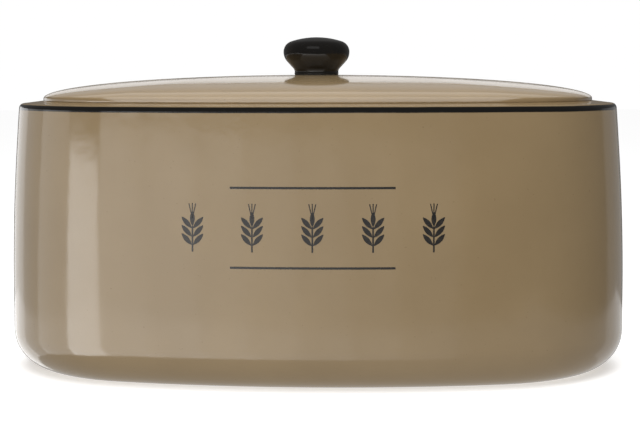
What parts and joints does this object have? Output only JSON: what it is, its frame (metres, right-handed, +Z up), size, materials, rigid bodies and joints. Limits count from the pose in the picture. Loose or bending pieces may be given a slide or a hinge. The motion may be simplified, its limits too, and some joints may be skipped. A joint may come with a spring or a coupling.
{
  "type": "bread bin",
  "caption": "Oval glazed ceramic bread bin: deep crock with an inward shoulder, low domed lift-off lid and a black mushroom knob.",
  "frame": {"origin": "on the surface that the foot ring stands on, under the middle of the oval", "axes": "+X along the crock's length, +Z up; the printed front faces -Y"},
  "size_m": [0.36, 0.206, 0.1933],
  "materials": {
    "cream_glaze": "gloss",
    "black_glaze": "gloss",
    "rubber": "matte",
    "brass": "machined",
    "steel": "machined"
  },
  "bodies": {
    "crock": {"crock": "cream_glaze"},
    "lid": {"lid": "cream_glaze", "knob": "black_glaze", "knob_pad": "rubber", "cushion_washer": "rubber", "knob_insert": "brass", "steel_washer": "steel", "knob_screw": "steel"}
  },
  "joints": [
    {"name": "lid_lift", "type": "slide", "parent": "crock", "child": "lid", "axis": [0, 0, 1], "range_m": [0, 0.16]}
  ]
}
